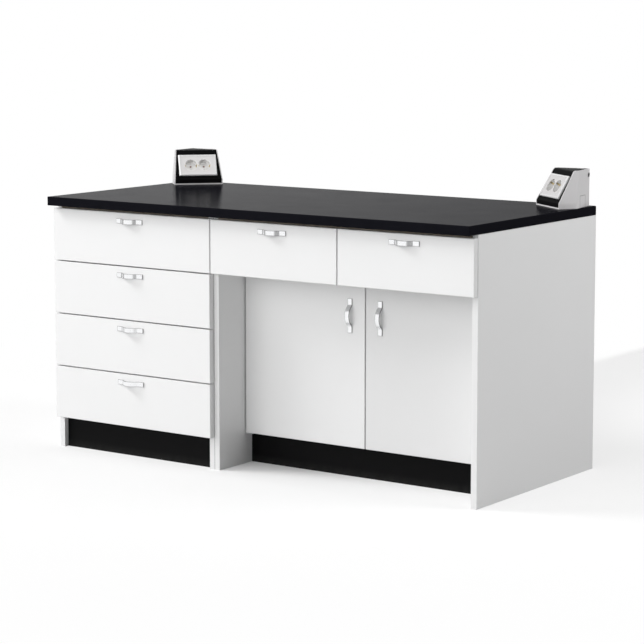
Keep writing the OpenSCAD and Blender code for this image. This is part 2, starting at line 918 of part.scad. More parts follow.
// The upper plate under the deck carries a pin that points down. The lower
// plate is joggled: it is fixed under the bottom panel's front edge, drops
// clear of the door's swing and reaches forward under the door to carry it.
module door_pivot_plates() {
    x = [-cupboard_clear / 2, pivot_x + bush_flange_d];
    y_plinth = y_door + plinth_setback;
    z_carry = z_door_low - bush_flange_t - joint_gap;
    z_hang = z_deck - plate_t;
    color([0.75, 0.75, 0.77])
        for (m = [0, 1])
            at_door(m) {
                slab(x, [y_door + 1, y_plinth], [z_hang, z_deck]);
                at_pivot(z_door_top - pivot_pin_l)
                    cylinder(d = pivot_d, h = z_hang - z_door_top + pivot_pin_l);
                slab(x, [y_door + 1, y_inner + plate_t],
                    [z_carry - plate_t, z_carry]);
                slab(x, [y_inner, y_inner + plate_t],
                    [z_carry - plate_t, plinth_h]);
                slab(x, [y_inner, y_plinth], [plinth_h - plate_t, plinth_h]);
                at_pivot(z_carry)
                    cylinder(d = pivot_d, h = pivot_pin_l);
            }
}

module left_door_panel() { door_panel(0); }
module left_door_handle() { door_handle(0); }
module left_door_bushes() { door_bushes(0); }
module right_door_panel() { door_panel(1); }
module right_door_handle() { door_handle(1); }
module right_door_bushes() { door_bushes(1); }

// ----------------------------------------------------------- socket units

// Its children at the left unit (m = 0) or the right one (m = 1), drawn with
// the front along X at y = 0, the unit towards +Y and the worktop at z = 0.
module at_unit(m) {
    x = m == 0 ? x_left + left_unit_in : x_right - right_unit_in;
    y = y_back - (m == 0 ? left_unit_back : right_unit_back);
    turn = m == 0 ? left_unit_turn : -right_unit_turn;
    translate([x, y, bench_h])
        rotate([0, 0, turn])
            children();
}

// Plan of a unit, drawn in by the distance in on its sides and rear walls,
// and open to the front by the distance out. Its three rear corners are
// rounded.
module unit_plan(in, out = 0) {
    half = unit_w / 2 - in;
    rear = unit_rear - in * sqrt(2);
    side = rear - half;
    r = unit_corner_r - in;
    t = r * tan(22.5);
    difference() {
        polygon([[-half, -out], [half, -out], [half, side], [0, rear],
            [-half, side]]);
        for (s = [-1, 1])
            difference() {
                polygon([[s * half, side - t], [s * (half + 1), side - t],
                    [s * (half + 1), side + t], [s * (half - t / sqrt(2)),
                    side + t / sqrt(2)]]);
                translate([s * (half - r), side - t])
                    circle(r = r + bend_cut);
            }
        difference() {
            polygon([[-r / sqrt(2), rear - r / sqrt(2)], [0, rear + r],
                [r / sqrt(2), rear - r / sqrt(2)]]);
            translate([0, rear - r * sqrt(2)])
                circle(r = r + bend_cut);
        }
    }
}

// Side view of a unit, in by the distance in at its front and top, with the
// edge between the slope and the top rounded.
module unit_side_view(in) {
    top = unit_h - in;
    foot = unit_foot - in * tan((90 - unit_slope) / 2);
    back = unit_rear + 1;
    corner = in + (top - foot) / tan(unit_slope);
    r = unit_edge_r - in;
    t = r * tan(unit_slope / 2);
    difference() {
        polygon([[in, 0], [in, foot], [corner, top], [back, top], [back, 0]]);
        difference() {
            polygon([
                [corner - t * cos(unit_slope), top - t * sin(unit_slope)],
                [corner - t - 1, top], [corner - 1, top + 1],
                [corner + t, top + 1], [corner + t, top],
            ]);
            translate([corner + t, top - r])
                circle(r = r + bend_cut);
        }
    }
}

// Front view of a unit, drawn in by the distance in at its sides.
module unit_front_view(in) {
    half = unit_w / 2 - in;
    polygon([[-half, -1], [half, -1], [half, unit_foot],
        [half - unit_draft, unit_h + 1], [-half + unit_draft, unit_h + 1],
        [-half, unit_foot]]);
}

// The front view swept from front to rear.
module unit_draft_body(in) {
    translate([0, unit_rear + 1, 0])
        rotate([90, 0, 0])
            linear_extrude(unit_rear + 3)
                unit_front_view(in);
}

// The side view swept across the unit.
module unit_side_body(in) {
    rotate([90, 0, 90])
        linear_extrude(unit_w + 2, center = true)
            unit_side_view(in);
}

// Its children on the sloping cover: x across, y up the slope, z out of it.
module on_slope() {
    translate([0, 0, unit_foot])
        rotate([unit_slope, 0, 0])
            translate([0, 0, -unit_proud])
                children();
}

// Middles of the two sockets of a unit, on the field of its plate.
module at_sockets() {
    for (s = [-1, 1])
        on_slope()
            translate([s * recess_pitch / 2, plate_up + plate_h / 2,
                plate_d - plate_step])
                children();
}

// Its children on the outer face of each rear wall: x towards the side, from
// the corner between them, y out of the wall, z up.
module at_rear_walls() {
    for (m = [0, 1])
        mirror([m, 0, 0])
            translate([unit_w / 2, unit_side, 0])
                rotate([0, 0, -45])
                    children();
}

module at_cable_holes() {
    at_rear_walls()
        translate([cable_hole_in - unit_w / sqrt(2), 0, cable_hole_up])
            children();
}

// The cut round a knock-out, which reaches down to the worktop.
module knockout_groove() {
    translate([-knockout_in - knockout_w / 2, 0, 0])
        difference() {
            translate([0, -groove_w, -1])
                cube([knockout_w, groove_w + 1, knockout_h + 1]);
            translate([groove_w, -groove_w - 1, -2])
                cube([knockout_w - 2 * groove_w, groove_w + 3,
                    knockout_h - groove_w + 2]);
        }
}

// Side and rear walls on a base plate, in one moulding.
module unit_housing() {
    flange_d = cable_hole_d + 2 * plug_flange + 2 * joint_gap;
    color([0.8, 0.8, 0.81])
        difference() {
            union() {
                intersection() {
                    linear_extrude(unit_h)
                        difference() {
                            unit_plan(0);
                            unit_plan(unit_wall, out = 1);
                        }
                    unit_side_body(0);
                    unit_draft_body(0);
                }
                difference() {
                    intersection() {
                        linear_extrude(unit_h)
                            unit_plan(0);
                        unit_side_body(0);
                        unit_draft_body(0);
                    }
                    unit_draft_body(unit_wall);
                }
                linear_extrude(unit_base_t)
                    unit_plan(0);
                at_cable_holes()
                    translate([0, -1, 0])
                        rod_y(flange_d + 2 * collar_w, 1 + collar_t);
            }
            at_rear_walls()
                knockout_groove();
            at_cable_holes() {
                translate([0, -unit_wall - 1, 0])
                    rod_y(cable_hole_d + 2 * joint_gap, unit_wall + 2);
                rod_y(flange_d, collar_t + 1);
            }
        }
}

// A flanged plug in each cable hole.
module unit_cable_plugs() {
    color([0.11, 0.11, 0.12])
        for (m = [0, 1])
            at_unit(m)
                at_cable_holes() {
                    translate([0, -unit_wall, 0])
                        rod_y(cable_hole_d, unit_wall + 1);
                    translate([0, joint_gap, 0])
                        rod_y(cable_hole_d + 2 * plug_flange, plug_flange_t);
                }
}

// Front and top cover, bent from one sheet, between the walls.
module unit_cover() {
    color([0.11, 0.11, 0.12])
        difference() {
            intersection() {
                translate([0, 0, unit_base_t + seam])
                    linear_extrude(unit_h)
                        unit_plan(unit_wall + seam);
                unit_draft_body(unit_wall + seam);
                difference() {
                    unit_side_body(unit_proud);
                    unit_side_body(unit_proud + unit_wall);
                }
            }
            at_sockets()
                translate([0, 0, -recess_deep - unit_wall])
                    cylinder(d = insert_d + 2 * insert_play,
                        h = recess_deep + 2 * unit_wall);
        }
}

// Square socket plate with chamfered edges, a raised border and two round
// openings.
module unit_socket_plate() {
    c = plate_chamfer;
    w = plate_w / 2;
    color([0.9, 0.9, 0.9])
        difference() {
            on_slope()
                intersection() {
                    translate([-w, plate_up, joint_gap])
                        cube([plate_w, plate_h, plate_d - joint_gap]);
                    rotate([90, 0, 0])
                        linear_extrude(4 * plate_h, center = true)
                            polygon([[-w, 0], [w, 0], [w, plate_d - c],
                                [w - c, plate_d], [c - w, plate_d],
                                [-w, plate_d - c]]);
                    translate([0, plate_up, 0])
                        rotate([90, 0, 90])
                            linear_extrude(2 * plate_w, center = true)
                                polygon([[0, 0], [plate_h, 0],
                                    [plate_h, plate_d - c],
                                    [plate_h - c, plate_d], [c, plate_d],
                                    [0, plate_d - c]]);
                }
            on_slope()
                translate([plate_border - w, plate_up + plate_border,
                    plate_d - plate_step])
                    cube([plate_w - 2 * plate_border,
                        plate_h - 2 * plate_border, plate_step + 1]);
            at_sockets()
                translate([0, 0, -2 * plate_d])
                    cylinder(d = insert_d + 2 * insert_play, h = 3 * plate_d);
        }
}

// A socket insert: a cup with two pin holes and a boss for its screw, its rim
// flush with the plate's field.
module socket_insert() {
    difference() {
        translate([0, 0, -recess_deep - insert_floor_t])
            cylinder(d = insert_d, h = recess_deep + insert_floor_t);
        difference() {
            translate([0, 0, -recess_deep])
                cylinder(d = recess_d, h = recess_deep + 1);
            translate([0, 0, -recess_deep - 1])
                cylinder(d = boss_d, h = 1 + boss_h);
        }
        for (s = [-1, 1])
            translate([s * pin_pitch / 2, 0, -recess_deep - insert_floor_t - 1])
                cylinder(d = pin_d, h = insert_floor_t + 2);
    }
}

module socket_inserts() {
    color([0.9, 0.9, 0.9])
        for (m = [0, 1])
            at_unit(m)
                at_sockets()
                    rotate(insert_turn[m])
                        socket_insert();
}

// Two sprung earth clips stand in each recess, across from one another and
// square to the line of the pin holes.
module socket_earth_clips() {
    r = recess_d / 2 - joint_gap;
    color([0.75, 0.6, 0.3])
        for (m = [0, 1])
            at_unit(m)
                at_sockets()
                    for (s = [0, 180])
                        rotate(insert_turn[m] + s)
                            translate([-earth_clip_w / 2, r - 2 * earth_clip_t,
                                -recess_deep])
                                cube([earth_clip_w, earth_clip_t,
                                    recess_deep - 2]);
}

module left_unit_housing() { at_unit(0) unit_housing(); }
module left_unit_cover() { at_unit(0) unit_cover(); }
module left_unit_socket_plate() { at_unit(0) unit_socket_plate(); }
module right_unit_housing() { at_unit(1) unit_housing(); }
module right_unit_cover() { at_unit(1) unit_cover(); }
module right_unit_socket_plate() { at_unit(1) unit_socket_plate(); }

// --------------------------------------------------------------- assembly

worktop();
worktop_screws();
pedestal_left_side();
pedestal_right_side();
pedestal_bottom_panel();
pedestal_back_panel();
pedestal_top_rails();
pedestal_plinth();
cupboard_left_side();
cupboard_right_side();
cupboard_bottom_panel();
cupboard_back_panel();
cupboard_top_rails();
cupboard_plinth();
cupboard_deck();
cupboard_drawer_divider();
cupboard_shelf();
shelf_pins();
cabinet_bolts();
cabinet_runners();
door_pivot_plates();
left_unit_housing();
left_unit_cover();
left_unit_socket_plate();
right_unit_housing();
right_unit_cover();
right_unit_socket_plate();
socket_inserts();
socket_earth_clips();
unit_cable_plugs();
drawer_1_front();
drawer_1_box();
drawer_1_handle();
drawer_1_runners();
drawer_2_front();
drawer_2_box();
drawer_2_handle();
drawer_2_runners();
drawer_3_front();
drawer_3_box();
drawer_3_handle();
drawer_3_runners();
drawer_4_front();
drawer_4_box();
drawer_4_handle();
drawer_4_runners();
left_top_drawer_front();
left_top_drawer_box();
left_top_drawer_handle();
left_top_drawer_runners();
right_top_drawer_front();
right_top_drawer_box();
right_top_drawer_handle();
right_top_drawer_runners();
left_door_panel();
left_door_handle();
left_door_bushes();
right_door_panel();
right_door_handle();
right_door_bushes();
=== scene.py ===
import json
import math

import bmesh
import bpy
from mathutils import Matrix, Vector


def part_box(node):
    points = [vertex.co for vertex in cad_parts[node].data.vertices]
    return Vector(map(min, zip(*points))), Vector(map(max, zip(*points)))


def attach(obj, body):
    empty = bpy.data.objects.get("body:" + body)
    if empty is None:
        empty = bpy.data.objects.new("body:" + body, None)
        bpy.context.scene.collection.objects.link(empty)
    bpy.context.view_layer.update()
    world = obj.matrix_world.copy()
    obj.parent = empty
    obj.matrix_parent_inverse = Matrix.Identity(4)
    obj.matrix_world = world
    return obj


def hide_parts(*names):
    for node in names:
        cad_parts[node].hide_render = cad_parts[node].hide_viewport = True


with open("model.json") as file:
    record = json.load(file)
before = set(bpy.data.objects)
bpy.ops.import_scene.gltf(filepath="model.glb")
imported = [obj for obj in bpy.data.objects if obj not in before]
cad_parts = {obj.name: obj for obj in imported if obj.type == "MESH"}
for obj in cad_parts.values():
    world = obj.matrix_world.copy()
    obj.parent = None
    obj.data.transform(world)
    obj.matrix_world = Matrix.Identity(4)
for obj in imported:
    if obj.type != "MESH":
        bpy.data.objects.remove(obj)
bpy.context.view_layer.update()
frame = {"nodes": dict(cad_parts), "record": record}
nodes = frame["nodes"]
bpy.ops.object.select_all(action="DESELECT")

# ---------------------------------------------------------------- camera
# A long lens at chest height, six metres off the right front corner, tilted
# a little down. Its film is shifted, as in a view camera.
lens_mm = 126.15
camera_place = (3.8661, -5.4308, 1.4003)
camera_turn = 0.6158
camera_tilt = 0.1186
film_shift = -0.0994
bpy.ops.object.camera_add(
    location=camera_place,
    rotation=(math.pi / 2 - camera_tilt, 0, camera_turn),
)
camera = bpy.context.object
camera.name = "camera"
camera.data.sensor_width = 36
camera.data.lens = lens_mm
camera.data.shift_y = film_shift
camera.data.clip_start = 0.1
camera.data.clip_end = 200
bpy.context.scene.camera = camera
bpy.context.scene.view_settings.view_transform = "Standard"


# ------------------------------------------------------ floor and lights
# A white studio floor without edges, a large soft lamp at the upper left of
# the front, a weaker one at the right, and a white room with grey cloths.
class Tone:
    """A shader socket that takes part in sums like a number."""

    def __init__(self, finish, socket):
        self.finish = finish
        self.socket = socket

    def maths(self, operation, *values):
        return self.finish.node(
            "ShaderNodeMath", {"operation": operation}, dict(enumerate(values))
        )

    def __add__(self, other):
        return self.maths("ADD", self, other)

    __radd__ = __add__

    def __sub__(self, other):
        return self.maths("SUBTRACT", self, other)

    def __rsub__(self, other):
        return self.maths("SUBTRACT", other, self)

    def __mul__(self, other):
        return self.maths("MULTIPLY", self, other)

    __rmul__ = __mul__

    def __truediv__(self, other):
        return self.maths("DIVIDE", self, other)

    def __rtruediv__(self, other):
        return self.maths("DIVIDE", other, self)

    def __pow__(self, other):
        return self.maths("POWER", self, other)

    def __rpow__(self, other):
        return self.maths("POWER", other, self)

    def __abs__(self):
        return self.maths("ABSOLUTE", self)

    def __lt__(self, other):
        return self.maths("LESS_THAN", self, other)

    def __gt__(self, other):
        return self.maths("GREATER_THAN", self, other)

    def least(self, other):
        return self.maths("MINIMUM", self, other)

    def most(self, other):
        return self.maths("MAXIMUM", self, other)

    def fade(self, low, high):
        """0 at low, 1 at high, smooth in between."""
        return self.finish.node(
            "ShaderNodeMapRange",
            {"interpolation_type": "SMOOTHSTEP"},
            {"Value": self, "From Min": low, "From Max": high},
        )


class Shading:
    """A node tree that is laid out in metres or directions along X, Y, Z."""

    def __init__(self, tree, coordinates):
        self.tree = tree
        self.place = self.node("ShaderNodeTexCoord", {}, {}, coordinates)
        split = self.node("ShaderNodeSeparateXYZ", {}, {0: self.place})
        outputs = split.socket.node.outputs
        self.x, self.y, self.z = (Tone(self, outputs[i]) for i in range(3))

    def ray(self, kind):
        """1 on rays of the given kind, such as Camera, and 0 on others."""
        return self.node("ShaderNodeLightPath", {}, {}, "Is %s Ray" % kind)

    def node(self, kind, settings, sockets, output=0):
        """A new node's output; its settings come before its sockets."""
        made = self.tree.nodes.new(kind)
        for key, value in settings.items():
            setattr(made, key, value)
        for key, value in sockets.items():
            if isinstance(value, Tone):
                self.tree.links.new(value.socket, made.inputs[key])
            else:
                made.inputs[key].default_value = value
        return Tone(self, made.outputs[output])


class Finish(Shading):
    """One material, patterned in metres on the surface's own place."""

    def __init__(self, name, **constants):
        self.material = bpy.data.materials.new(name)
        self.material.use_nodes = True
        super().__init__(self.material.node_tree, "Object")
        self.shader = self.tree.nodes["Principled BSDF"]
        self.surface(**constants)

    def surface(self, **values):
        """Sets or links the shader's sockets by their names."""
        for key, value in values.items():
            title = key.replace("_", " ").title().replace("Ior", "IOR")
            socket = self.shader.inputs[title]
            if isinstance(value, Tone):
                self.tree.links.new(value.socket, socket)
            else:
                socket.default_value = value

    def grain(self, size, detail=2.0, stretch=(1, 1, 1)):
        """Noise from 0 to 1 with lumps of the given size in metres."""
        scaled = self.node(
            "ShaderNodeMapping", {}, {"Vector": self.place, "Scale": stretch}
        )
        return self.node(
            "ShaderNodeTexNoise",
            {"noise_dimensions": "3D"},
            {"Vector": scaled, "Scale": 1 / size, "Detail": detail},
        )

    def between(self, low, high, share):
        """The colour low where share is 0 and high where it is 1."""
        low, high = (end if isinstance(end, Tone) else (*end, 1) for end in (low, high))
        return self.node(
            "ShaderNodeMix", {"data_type": "RGBA"}, {0: share, 6: low, 7: high}, 2
        )

    def shade(self, colour, share, low, high):
        """A colour socket made darker or lighter, from low to high."""
        value = share * (high - low) + low
        grey = self.node("ShaderNodeCombineXYZ", {}, {0: value, 1: value, 2: value})
        return self.node(
            "ShaderNodeVectorMath", {"operation": "MULTIPLY"}, {0: colour, 1: grey}
        )

    def relief(self, height, depth, below=None):
        """A bump of the given depth in metres, on top of another bump."""
        sockets = {"Height": height, "Strength": 1.0, "Distance": depth}
        if below is not None:
            sockets["Normal"] = below
        return self.node("ShaderNodeBump", {}, sockets)

    def dress(self, *names):
        """Gives the material to the named CAD nodes."""
        for name in names:
            slots = nodes[name].data.materials
            slots.clear()
            slots.append(self.material)


floor_w = 60
bpy.ops.mesh.primitive_plane_add(size=floor_w, location=(0, 0, 0))
floor = bpy.context.object
floor.name = "studio_floor"
bpy.ops.object.mode_set(mode="EDIT")
bpy.ops.mesh.subdivide(number_cuts=3)
bpy.ops.object.mode_set(mode="OBJECT")
floor_paint = Finish("floor_paint", roughness=0.9, specular_ior_level=0.0)
floor_mottle = floor_paint.grain(0.4)
glow_on_bench = 0.48
floor_paint.surface(
    base_color=floor_paint.shade(
        floor_paint.between((0.97, 0.97, 0.97), (0.99, 0.99, 0.99), floor_mottle),
        floor_paint.ray("Diffuse"),
        1.0,
        glow_on_bench,
    )
)
away = (floor_paint.x * floor_paint.x + floor_paint.y * floor_paint.y) ** 0.5


def towards(x, y, way):
    """How far a direction points the given level way, from -1 to 1."""
    return x * way[0] + y * way[1]


def grey_cloths(x, y):
    """1 in the directions where a grey cloth hangs beside the bench."""
    left = towards(x, y, (-0.985, 0.174)).fade(0.80, 0.90)
    right = towards(x, y, (0.72, -0.69)).fade(0.88, 0.98)
    return left.most(right)


cloth_grey = 0.6
floor_glossy = floor_paint.ray("Glossy")
floor_cloths = grey_cloths(floor_paint.x / away, floor_paint.y / away)
floor_cloths = floor_cloths * away.fade(2, 4) * cloth_grey
floor_glow = floor_paint.node(
    "ShaderNodeEmission",
    {},
    {"Color": 1 - floor_glossy * floor_cloths, "Strength": 1.0},
)
# The floor shines white where it is seen, and less so near the bench, least
# in the knee recess, so that the shadows there stay.
recess_left, recess_right, recess_front = (-0.20, -0.13), (0.0, 0.6), (-0.40, -0.28)
in_recess = floor_paint.x.fade(*recess_left) * (1 - floor_paint.x.fade(*recess_right))
in_recess = in_recess * floor_paint.y.fade(*recess_front)
shine_near, recess_dark = 0.58, 0.85
shine = away.fade(0.9, 2.5) * (1 - shine_near) + shine_near
shine = shine * (1 - in_recess * recess_dark)
floor_skin = floor_paint.node(
    "ShaderNodeMixShader",
    {},
    {
        0: floor_paint.ray("Camera").most(floor_glossy) * shine,
        1: Tone(floor_paint, floor_paint.shader.outputs[0]),
        2: floor_glow,
    },
)
floor_paint.tree.links.new(
    floor_skin.socket, floor_paint.tree.nodes["Material Output"].inputs["Surface"]
)
floor.data.materials.append(floor_paint.material)

# The room lights the bench most from the front and least from the right.
# Mirror images see its grey cloths and a grey wall behind the bench.
room = bpy.data.worlds.new("white_room")
bpy.context.scene.world = room
room.use_nodes = True
air = Shading(room.node_tree, "Generated")
glossy = air.ray("Glossy")
seen = air.ray("Camera").most(glossy).most(air.ray("Transmission"))
softbox = towards(air.x, air.y, (-0.2, -0.98)).fade(0.6, 0.98)
dim_side = towards(air.x, air.y, (0.8, -0.6)).fade(0.3, 0.95)
softbox_light, side_loss, room_level = 2.65, 0.3, 0.345
room_light = air.node(
    "ShaderNodeBackground",
    {},
    {0: softbox * softbox_light - dim_side * side_loss + room_level, 1: 1.0},
)
wall_grey = 0.8
greys = grey_cloths(air.x, air.y) * cloth_grey
greys = greys.most(air.y.fade(0.74, 1.0) * wall_grey)
room_seen = air.node("ShaderNodeBackground", {}, {0: 1 - glossy * greys, 1: 1.0})
room_mix = air.node("ShaderNodeMixShader", {}, {0: seen, 1: room_light, 2: room_seen})
air.tree.links.new(
    room_mix.socket, air.tree.nodes["World Output"].inputs["Surface"]
)

bench_middle = Vector((0, 0, 0.4))


def round_lamp(name, direction, distance, width, watts):
    """A soft round lamp in that direction, turned to the bench's middle."""
    direction = Vector(direction).normalized()
    bpy.ops.object.light_add(type="AREA", location=bench_middle + direction * distance)
    lamp = bpy.context.object
    lamp.name = name
    lamp.rotation_euler = direction.to_track_quat("Z", "Y").to_euler()
    lamp.data.shape = "DISK"
    lamp.data.size = width
    lamp.data.energy = watts


round_lamp("key_lamp", (-0.70, -0.37, 0.61), distance=9.0, width=3.6, watts=450)
round_lamp("fill_lamp", (0.75, 0.25, 0.60), distance=5.0, width=2.4, watts=92)

# ---------------------------------------------------------------- worktop
# One chipboard with black satin laminate all round, screwed on from below.
# The laminate has a fine pebbled skin that greys in a low light.
laminate = Finish("black_laminate", specular_ior_level=0.0011)
pebble = laminate.grain(0.0009, detail=3)
smear = laminate.grain(0.11, detail=4)
laminate.surface(
    base_color=laminate.between(
        (0.0070, 0.0070, 0.0095), (0.0095, 0.0095, 0.0125), laminate.grain(0.02)
    ),
    roughness=smear * 0.06 + 0.15,
    normal=laminate.relief(pebble, 0.00003),
)
laminate.dress("worktop")

# --------------------------------------------------------- cabinet boards
# Melamine-faced chipboard, 18 mm thick and white on both faces. Each visible
# edge has a glued plastic edging whose joint shows as a hairline.
edging_t = 0.0013
hairline = 0.00014
joint_dirt = 0.0007


def to_edge(finish, node, axes):
    """Metres to the nearest end of the node's box along any of the axes."""
    low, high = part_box(node)
    nearest = None
    for i in axes:
        middle, half = (low[i] + high[i]) / 2, (high[i] - low[i]) / 2
        distance = half - abs((finish.x, finish.y, finish.z)[i] - middle)
        nearest = distance if nearest is None else nearest.least(distance)
    return nearest


def melamine(node, flat, tone=0.86, joint_x=None):
    """White board; flat is the axis that its faces look along.

    Dirt lines the joint where another board meets it at joint_x.
    """
    board = Finish("melamine_" + node, specular_ior_level=0.42)
    nearest = to_edge(board, node, [i for i in range(3) if "xyz"[i] != flat])
    seam = 1 - abs(nearest - edging_t).fade(hairline * 0.5, hairline * 1.5)
    edging = nearest < edging_t
    cloud = board.grain(0.35, detail=3)
    pearl = board.grain(0.0007, detail=2)
    wave = board.grain(0.09, detail=1)
    colour = board.between(
        (tone * 0.985, tone * 0.987, tone * 0.985),
        (tone * 1.01, tone * 1.01, tone * 1.012),
        cloud,
    )
    colour = board.shade(colour, edging, 1.0, 0.97)
    colour = board.shade(colour, seam, 1.0, 0.72)
    if joint_x is not None:
        dirt = abs(board.x - joint_x) < joint_dirt
        colour = board.shade(colour, dirt, 1.0, 0.3)
    height = board.relief(wave, 0.00006)
    board.surface(
        base_color=colour,
        roughness=board.grain(0.06, detail=3) * 0.10 + 0.36 - edging * 0.06,
        normal=board.relief(pearl - seam * 1.5, 0.000012, height),
    )
    board.dress(node)


cabinets_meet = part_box("pedestal_right_side")[1][0]
for side in ("pedestal_left", "cupboard_right"):
    melamine(side + "_side", "x")
for side in ("pedestal_right", "cupboard_left"):
    melamine(side + "_side", "x", joint_x=cabinets_meet)
for flat_board in (
    "pedestal_bottom_panel",
    "cupboard_bottom_panel",
    "cupboard_deck",
    "cupboard_shelf",
):
    melamine(flat_board, "z")
melamine("cupboard_drawer_divider", "x")

# -------------------------------------------------------------- top rails
# The same board, sawn but not edged, so that the brown chips of its core
# show in the gap under the worktop.
skin_t, sawn_deep = 0.0003, 0.0008
for rails in ("pedestal_top_rails", "cupboard_top_rails"):
    low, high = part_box(rails)
    sawn = Finish("sawn_" + rails, specular_ior_level=0.3)
    chips = sawn.grain(0.0025, detail=4, stretch=(0.4, 1, 1))
    between_skins = to_edge(sawn, rails, [2]) > skin_t
    at_front = 1 - (sawn.y - low[1]).fade(sawn_deep / 4, sawn_deep)
    at_back = high[1] - sawn.y < sawn_deep
    raw = between_skins * at_front.most(at_back)
    skin = sawn.between(
        (0.84, 0.84, 0.835), (0.87, 0.87, 0.865), sawn.grain(0.3, detail=3)
    )
    core = sawn.between((0.19, 0.16, 0.13), (0.38, 0.33, 0.27), chips)
    sawn.surface(
        base_color=sawn.between(skin, core, raw),
        roughness=raw * 0.4 + 0.38,
        normal=sawn.relief(chips * raw, 0.0004),
    )
    sawn.dress(rails)

# ------------------------------------------------------------ back panels
# Thin white boards in the grooves of the sides, rougher than the melamine
# and with the faint print of the fibres under the paint.
back_paint = Finish("back_board_paint", specular_ior_level=0.35)
fibres = back_paint.grain(0.004, detail=5, stretch=(1, 1, 0.35))
back_paint.surface(
    base_color=back_paint.between((0.80, 0.80, 0.79), (0.84, 0.84, 0.835), fibres),
    roughness=fibres * 0.15 + 0.5,
    normal=back_paint.relief(fibres, 0.00008),
)
back_paint.dress("pedestal_back_panel", "cupboard_back_panel")

# ---------------------------------------------------------------- plinths
# Black laminated boards under the cabinets. Dust and mop marks grey their
# lowest finger's breadth.
kickboard = Finish("black_plinth", specular_ior_level=0.06)
dust = kickboard.grain(0.018, detail=5)
mopped_h = 0.03
low_down = 1 - kickboard.z.fade(0.0, mopped_h)
kickboard.surface(
    base_color=kickboard.between(
        (0.003, 0.003, 0.0033), (0.05, 0.05, 0.048), dust * low_down * 0.4
    ),
    roughness=dust * 0.12 + 0.42 + low_down * 0.12,
    normal=kickboard.relief(kickboard.grain(0.0009, detail=3), 0.00003),
)
kickboard.dress("pedestal_plinth", "cupboard_plinth")

# ------------------------------------------------------- fronts and doors
# Cut from the same white board as the cabinets and edged all round. Screws
# hold each front to its drawer box, and each door turns on two pins.
drawers = ["drawer_%d" % n for n in (1, 2, 3, 4)]
drawers += ["left_top_drawer", "right_top_drawer"]
doors = ["left_door", "right_door"]
front_tone = 0.875
# The doors are the same white board as the fronts, given lower tones as painted shade
# for the knee recess, the right door darker than the left.
door_shaded_tones = (0.835, 0.765)
for drawer in drawers:
    melamine(drawer + "_front", "y", front_tone)
for door, tone in zip(doors, door_shaded_tones):
    melamine(door + "_panel", "y", tone)

# ------------------------------------------------------------ drawer boxes
# Foil-wrapped boards round a grooved-in bottom, glued at the corners. The
# foil has a fine linen print.
foil = Finish("drawer_foil", specular_ior_level=0.4)
weave_scale = 420.0


def threads(direction):
    """The foil's printed threads, side by side along one axis."""
    return foil.node(
        "ShaderNodeTexWave",
        {"bands_direction": direction},
        {"Vector": foil.place, "Scale": weave_scale, "Distortion": 1.5, "Detail": 2.0},
        1,
    )


linen = threads("X") * 0.5 + threads("Z") * 0.5
foil.surface(
    base_color=foil.between(
        (0.78, 0.78, 0.77), (0.82, 0.82, 0.81), foil.grain(0.15, detail=3)
    ),
    roughness=foil.grain(0.05, detail=2) * 0.1 + 0.42,
    normal=foil.relief(linen, 0.00002),
)
foil.dress(*[drawer + "_box" for drawer in drawers])

# ----------------------------------------------------- drawer-front screws
# Four zinc-plated pan-head screws with a cross recess hold each front, from
# inside its box, through the box's front board.
zinc = Finish("zinc_plating", metallic=1.0)
spangle_size = 1 / 450
spangle = zinc.node(
    "ShaderNodeTexVoronoi", {}, {"Vector": zinc.place, "Scale": 1 / spangle_size}
)
zinc.surface(
    base_color=zinc.between((0.50, 0.51, 0.52), (0.66, 0.67, 0.69), spangle),
    roughness=zinc.grain(0.004, detail=4) * 0.2 + 0.25,
    normal=zinc.relief(zinc.grain(0.0008, detail=2), 0.00001),
)


def pick(piece, wanted):
    """Selects, in edit mode, the faces that wanted(middle, normal) names."""
    bpy.ops.mesh.select_mode(type="FACE")
    bpy.ops.mesh.select_all(action="DESELECT")
    mesh = bmesh.from_edit_mesh(piece.data)
    for face in mesh.faces:
        face.select_set(wanted(face.calc_center_median(), face.normal))
    bmesh.update_edit_mesh(piece.data)


def cut_across(piece, wanted, points, normals):
    """Cuts the wanted faces by planes through the points."""
    for point, normal in zip(points, normals):
        pick(piece, wanted)
        bpy.ops.mesh.bisect(plane_co=point, plane_no=normal)


def push(distance):
    """Extrudes what is selected along a vector."""
    bpy.ops.mesh.extrude_region_move(TRANSFORM_OT_translate={"value": distance})


def cross_screw(name, head_r, head_t, arm_l, arm_w):
    """A domed screw head on z = 0 that looks up, with a tapered cross."""
    bpy.ops.mesh.primitive_cylinder_add(
        vertices=32, radius=head_r, depth=head_t, location=(0, 0, head_t / 2)
    )
    head = bpy.context.object
    head.name = name
    bpy.ops.object.transform_apply(location=True)
    bpy.ops.object.mode_set(mode="EDIT")
    pick(head, lambda at, normal: normal.z > 0.9)
    bpy.ops.mesh.bevel(offset=head_t * 0.6, segments=4, affect="EDGES")

    def top(at, normal):
        return normal.z > 0.999 and at.z > head_t * 0.98

    sides = [(v, 0, 0) for v in (-arm_l, -arm_w, arm_w, arm_l)]
    sides += [(0, v, 0) for v in (-arm_l, -arm_w, arm_w, arm_l)]
    cut_across(head, top, sides, [(1, 0, 0)] * 4 + [(0, 1, 0)] * 4)
    pick(
        head,
        lambda at, normal: top(at, normal)
        and min(abs(at.x), abs(at.y)) < arm_w
        and max(abs(at.x), abs(at.y)) < arm_l,
    )
    push((0, 0, -head_t * 0.7))
    bpy.ops.transform.resize(value=(0.6, 0.6, 1))
    bpy.ops.object.mode_set(mode="OBJECT")
    bpy.ops.object.shade_smooth_by_angle(angle=math.radians(40))
    return head


